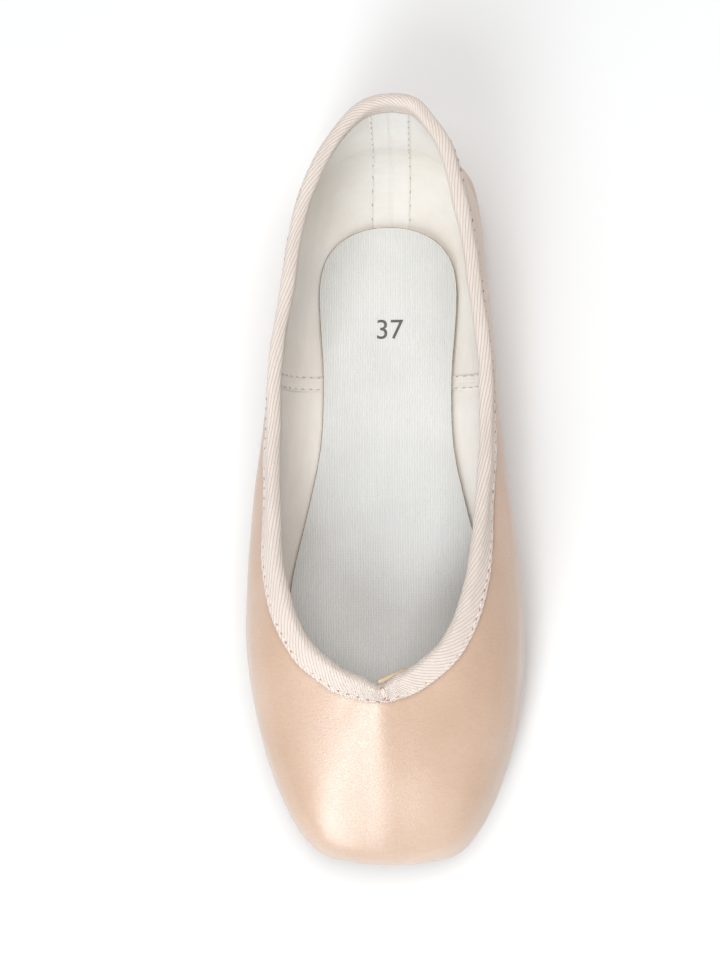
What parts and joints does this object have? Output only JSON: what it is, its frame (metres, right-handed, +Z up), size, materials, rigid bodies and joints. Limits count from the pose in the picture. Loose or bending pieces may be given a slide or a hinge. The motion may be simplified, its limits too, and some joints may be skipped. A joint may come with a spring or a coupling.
{
  "type": "pointe shoe",
  "caption": "Satin pointe shoe standing on its sole: hollow upper with a blocked toe and flat platform, twill-bound collar, cloth-covered insole and a short leather outsole.",
  "frame": {"origin": "on the floor, in the middle of the shoe's length and width", "axes": "+Z up, +Y towards the heel, -Y towards the toe platform, +X towards the wearer's left when worn"},
  "size_m": [0.0848, 0.2258, 0.0595],
  "materials": {
    "satin": "peach satin, with a broad soft shine",
    "binding_tape": "matt twill tape, paler than the satin",
    "insole_cloth": "off-white ribbed cotton cloth",
    "outsole_leather": "undyed buffed leather",
    "elastic": "beige covered elastic"
  },
  "bodies": {
    "root": {"upper": "satin", "collar_binding": "binding_tape", "insole": "insole_cloth", "outsole": "outsole_leather", "drawstring": "elastic"}
  },
  "joints": []
}
